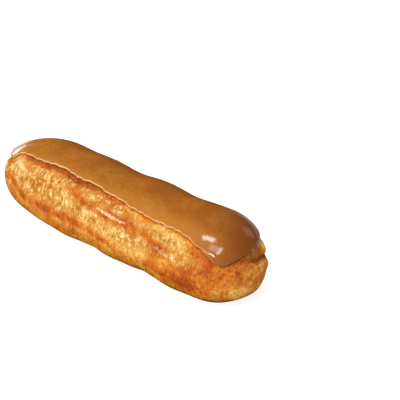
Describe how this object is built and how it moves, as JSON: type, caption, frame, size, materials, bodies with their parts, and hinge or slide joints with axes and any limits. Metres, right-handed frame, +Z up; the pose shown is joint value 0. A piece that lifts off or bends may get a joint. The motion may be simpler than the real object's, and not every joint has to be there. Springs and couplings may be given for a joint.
{
  "type": "coffee eclair",
  "caption": "Long choux bun, uncut, with a browned, ridged and crackled crust and a smooth coat of coffee fondant over its top.",
  "frame": {"origin": "middle of the underside, at the height of what it rests on", "axes": "+X along the bun from its slim tail to its blunt nose, +Z up, -Y towards the side where the crust shows most"},
  "size_m": [0.15, 0.0456, 0.0368],
  "materials": {
    "choux_crust": "baked crust, dry and satin on its ridges",
    "coffee_fondant": "smooth satin glaze"
  },
  "bodies": {
    "root": {"choux_shell": "choux_crust", "coffee_icing": "coffee_fondant"}
  },
  "joints": []
}
